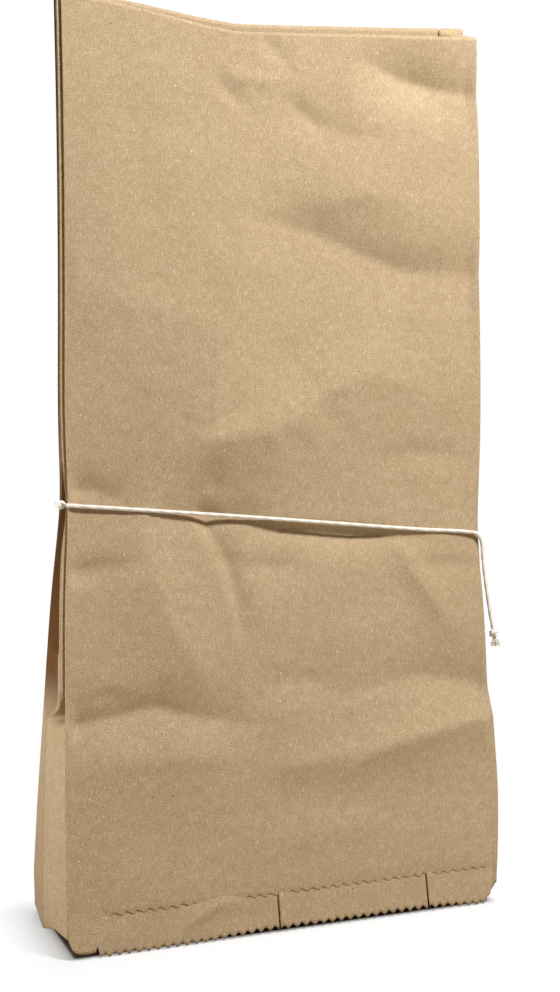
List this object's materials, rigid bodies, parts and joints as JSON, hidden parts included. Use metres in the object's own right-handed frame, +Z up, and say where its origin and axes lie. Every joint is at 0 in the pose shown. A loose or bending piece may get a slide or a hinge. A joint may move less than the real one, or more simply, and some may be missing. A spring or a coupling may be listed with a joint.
{
  "type": "paper lunch bag",
  "caption": "Brown kraft paper lunch bag that stands open at its flat base, with pleated sides, a pinked foot band and a string tied round its middle.",
  "frame": {"origin": "centre of the flat base, on the surface that the bag stands on", "axes": "+X along the front panel to the right, +Y from the front panel to the back panel, +Z up to the mouth"},
  "size_m": [0.1437, 0.0468, 0.2746],
  "materials": {
    "kraft_paper": "matt uncoated brown kraft with fine fibres",
    "cotton_string": "twisted white cotton"
  },
  "bodies": {
    "root": {"paper_bag": "kraft_paper", "tie_string": "cotton_string"}
  },
  "joints": []
}
